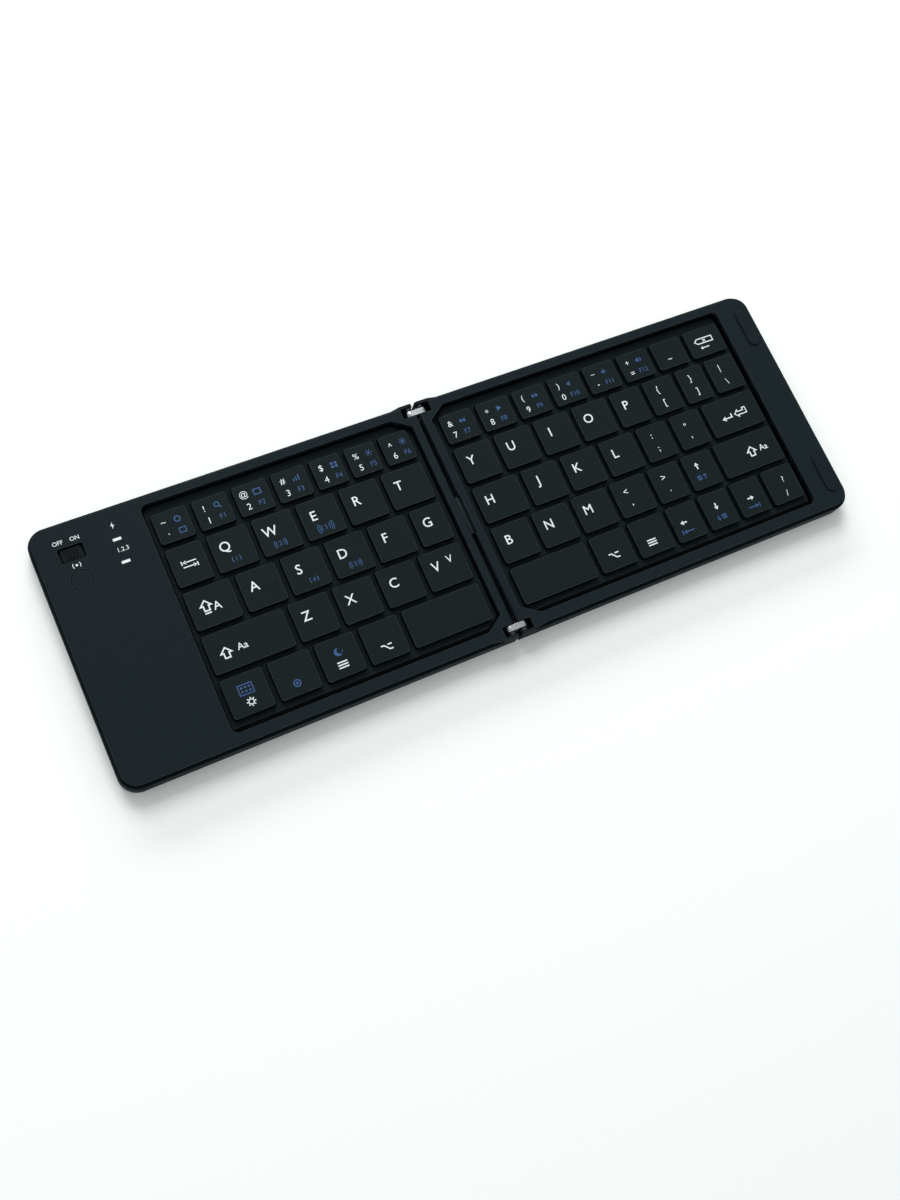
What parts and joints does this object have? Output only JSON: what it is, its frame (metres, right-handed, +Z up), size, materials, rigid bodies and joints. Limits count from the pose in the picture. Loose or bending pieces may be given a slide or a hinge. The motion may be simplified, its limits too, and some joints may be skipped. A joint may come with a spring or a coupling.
{
  "type": "folding keyboard",
  "caption": "Slim folding keyboard whose halves, with sunk keys, fold face to face on a link hinge, with a slide switch, a push button and lights beside the keys.",
  "frame": {"origin": "middle of the fold line, at table level under the feet, with the keyboard open", "axes": "+X to the right half along the length, +Y to the rear, away from the typist, +Z up"},
  "size_m": [0.2988, 0.0976, 0.009],
  "materials": {
    "base_plastic": "fine matt moulding texture, dark blue grey",
    "cover_plastic": "fine matt moulding texture, dark blue grey",
    "deck_plastic": "fine matt, dark blue grey",
    "key_plastic": "satin, dark blue grey, with printed marks",
    "plate_metal": "plain rolled sheet",
    "contact_film": "clear film with printed tracks",
    "dome_rubber": "soft translucent rubber",
    "board": "green solder mask",
    "switch_plastic": "plain",
    "knob_plastic": "matt, with fine ribs",
    "diode": "clear",
    "light_guide": "milky clear",
    "socket_metal": "bright nickel plate",
    "battery_wrap": "dull foil",
    "link_metal": "bright satin nickel",
    "bracket_metal": "plain",
    "pin_metal": "turned",
    "cable_cover": "matt, dark grey",
    "magnet": "nickel plate",
    "pad_rubber": "matt, dark grey",
    "screw_metal": "blackened",
    "foot_rubber": "matt black"
  },
  "bodies": {
    "left_half": {"left_base": "base_plastic", "left_cover": "cover_plastic", "left_key_frame": "deck_plastic", "left_plate": "plate_metal", "left_membrane": "contact_film", "left_domes": "dome_rubber", "circuit_board": "board", "option_switch": "switch_plastic", "connect_switch": "switch_plastic", "indicator_leds": "diode", "charge_light": "light_guide", "status_light": "light_guide", "usb_socket": "socket_metal", "battery": "battery_wrap", "left_hinge_brackets": "bracket_metal", "left_hinge_pins": "pin_metal", "left_magnets": "magnet", "left_screws": "screw_metal", "left_feet": "foot_rubber"},
    "hinge_links": {"rear_hinge_link": "link_metal", "front_hinge_link": "link_metal", "flex_cable": "cable_cover"},
    "right_half": {"right_base": "base_plastic", "right_cover": "cover_plastic", "right_key_frame": "deck_plastic", "right_plate": "plate_metal", "right_membrane": "contact_film", "right_domes": "dome_rubber", "right_hinge_brackets": "bracket_metal", "right_hinge_pins": "pin_metal", "right_magnets": "magnet", "closing_pads": "pad_rubber", "right_screws": "screw_metal", "right_feet": "foot_rubber"},
    "option_knob": {"option_knob": "knob_plastic"},
    "connect_button": {"connect_button": "cover_plastic"},
    "left_number_keys": {"left_number_keys": "key_plastic"},
    "tab_key": {"tab_key": "key_plastic"},
    "q_to_t_keys": {"q_to_t_keys": "key_plastic"},
    "caps_key": {"caps_key": "key_plastic"},
    "a_to_g_keys": {"a_to_g_keys": "key_plastic"},
    "left_shift_key": {"left_shift_key": "key_plastic"},
    "z_to_v_keys": {"z_to_v_keys": "key_plastic"},
    "left_control_keys": {"left_control_keys": "key_plastic"},
    "left_space_key": {"left_space_key": "key_plastic"},
    "right_number_keys": {"right_number_keys": "key_plastic"},
    "y_to_p_keys": {"y_to_p_keys": "key_plastic"},
    "bracket_keys": {"bracket_keys": "key_plastic"},
    "h_to_l_keys": {"h_to_l_keys": "key_plastic"},
    "quote_keys": {"quote_keys": "key_plastic"},
    "enter_key": {"enter_key": "key_plastic"},
    "b_to_stop_keys": {"b_to_stop_keys": "key_plastic"},
    "up_key": {"up_key": "key_plastic"},
    "right_shift_key": {"right_shift_key": "key_plastic"},
    "right_space_key": {"right_space_key": "key_plastic"},
    "right_control_keys": {"right_control_keys": "key_plastic"},
    "left_arrow_key": {"left_arrow_key": "key_plastic"},
    "down_key": {"down_key": "key_plastic"},
    "right_arrow_key": {"right_arrow_key": "key_plastic"},
    "slash_key": {"slash_key": "key_plastic"}
  },
  "joints": [
    {"name": "left_fold", "type": "hinge", "parent": "left_half", "child": "hinge_links", "pos_m": [-0.0024, 0, 0.0064], "axis": [0, -1, 0], "range_deg": [0, 90], "deforming": ["flex_cable"]},
    {"name": "right_fold", "type": "hinge", "parent": "hinge_links", "child": "right_half", "pos_m": [0.0024, 0, 0.0064], "axis": [0, -1, 0], "range_deg": [0, 90], "deforming": ["flex_cable"]},
    {"name": "option_slide", "type": "slide", "parent": "left_half", "child": "option_knob", "axis": [1, 0, 0], "range_m": [-0.001, 0.001]},
    {"name": "connect_press", "type": "slide", "parent": "left_half", "child": "connect_button", "axis": [0, 0, -1], "range_m": [0, 0.0005], "stiffness_N_per_m": 2000, "springref_m": -0.0001},
    {"name": "left_number_keys_press", "type": "slide", "parent": "left_half", "child": "left_number_keys", "axis": [0, 0, -1], "range_m": [0, 0.0014], "stiffness_N_per_m": 2100, "springref_m": -0.0005},
    {"name": "tab_key_press", "type": "slide", "parent": "left_half", "child": "tab_key", "axis": [0, 0, -1], "range_m": [0, 0.0014], "stiffness_N_per_m": 300, "springref_m": -0.0005},
    {"name": "q_to_t_keys_press", "type": "slide", "parent": "left_half", "child": "q_to_t_keys", "axis": [0, 0, -1], "range_m": [0, 0.0014], "stiffness_N_per_m": 1500, "springref_m": -0.0005},
    {"name": "caps_key_press", "type": "slide", "parent": "left_half", "child": "caps_key", "axis": [0, 0, -1], "range_m": [0, 0.0014], "stiffness_N_per_m": 300, "springref_m": -0.0005},
    {"name": "a_to_g_keys_press", "type": "slide", "parent": "left_half", "child": "a_to_g_keys", "axis": [0, 0, -1], "range_m": [0, 0.0014], "stiffness_N_per_m": 1500, "springref_m": -0.0005},
    {"name": "left_shift_key_press", "type": "slide", "parent": "left_half", "child": "left_shift_key", "axis": [0, 0, -1], "range_m": [0, 0.0014], "stiffness_N_per_m": 300, "springref_m": -0.0005},
    {"name": "z_to_v_keys_press", "type": "slide", "parent": "left_half", "child": "z_to_v_keys", "axis": [0, 0, -1], "range_m": [0, 0.0014], "stiffness_N_per_m": 1200, "springref_m": -0.0005},
    {"name": "left_control_keys_press", "type": "slide", "parent": "left_half", "child": "left_control_keys", "axis": [0, 0, -1], "range_m": [0, 0.0014], "stiffness_N_per_m": 1200, "springref_m": -0.0005},
    {"name": "left_space_key_press", "type": "slide", "parent": "left_half", "child": "left_space_key", "axis": [0, 0, -1], "range_m": [0, 0.0014], "stiffness_N_per_m": 300, "springref_m": -0.0005, "deforming": ["left_domes"]},
    {"name": "right_number_keys_press", "type": "slide", "parent": "right_half", "child": "right_number_keys", "axis": [0, 0, -1], "range_m": [0, 0.0014], "stiffness_N_per_m": 2400, "springref_m": -0.0005},
    {"name": "y_to_p_keys_press", "type": "slide", "parent": "right_half", "child": "y_to_p_keys", "axis": [0, 0, -1], "range_m": [0, 0.0014], "stiffness_N_per_m": 1500, "springref_m": -0.0005},
    {"name": "bracket_keys_press", "type": "slide", "parent": "right_half", "child": "bracket_keys", "axis": [0, 0, -1], "range_m": [0, 0.0014], "stiffness_N_per_m": 900, "springref_m": -0.0005},
    {"name": "h_to_l_keys_press", "type": "slide", "parent": "right_half", "child": "h_to_l_keys", "axis": [0, 0, -1], "range_m": [0, 0.0014], "stiffness_N_per_m": 1200, "springref_m": -0.0005},
    {"name": "quote_keys_press", "type": "slide", "parent": "right_half", "child": "quote_keys", "axis": [0, 0, -1], "range_m": [0, 0.0014], "stiffness_N_per_m": 600, "springref_m": -0.0005},
    {"name": "enter_key_press", "type": "slide", "parent": "right_half", "child": "enter_key", "axis": [0, 0, -1], "range_m": [0, 0.0014], "stiffness_N_per_m": 300, "springref_m": -0.0005},
    {"name": "b_to_stop_keys_press", "type": "slide", "parent": "right_half", "child": "b_to_stop_keys", "axis": [0, 0, -1], "range_m": [0, 0.0014], "stiffness_N_per_m": 1500, "springref_m": -0.0005},
    {"name": "up_key_press", "type": "slide", "parent": "right_half", "child": "up_key", "axis": [0, 0, -1], "range_m": [0, 0.0014], "stiffness_N_per_m": 300, "springref_m": -0.0005},
    {"name": "right_shift_key_press", "type": "slide", "parent": "right_half", "child": "right_shift_key", "axis": [0, 0, -1], "range_m": [0, 0.0014], "stiffness_N_per_m": 300, "springref_m": -0.0005},
    {"name": "right_space_key_press", "type": "slide", "parent": "right_half", "child": "right_space_key", "axis": [0, 0, -1], "range_m": [0, 0.0014], "stiffness_N_per_m": 300, "springref_m": -0.0005, "deforming": ["right_domes"]},
    {"name": "right_control_keys_press", "type": "slide", "parent": "right_half", "child": "right_control_keys", "axis": [0, 0, -1], "range_m": [0, 0.0014], "stiffness_N_per_m": 600, "springref_m": -0.0005},
    {"name": "left_arrow_key_press", "type": "slide", "parent": "right_half", "child": "left_arrow_key", "axis": [0, 0, -1], "range_m": [0, 0.0014], "stiffness_N_per_m": 300, "springref_m": -0.0005},
    {"name": "down_key_press", "type": "slide", "parent": "right_half", "child": "down_key", "axis": [0, 0, -1], "range_m": [0, 0.0014], "stiffness_N_per_m": 300, "springref_m": -0.0005},
    {"name": "right_arrow_key_press", "type": "slide", "parent": "right_half", "child": "right_arrow_key", "axis": [0, 0, -1], "range_m": [0, 0.0014], "stiffness_N_per_m": 300, "springref_m": -0.0005},
    {"name": "slash_key_press", "type": "slide", "parent": "right_half", "child": "slash_key", "axis": [0, 0, -1], "range_m": [0, 0.0014], "stiffness_N_per_m": 300, "springref_m": -0.0005}
  ]
}
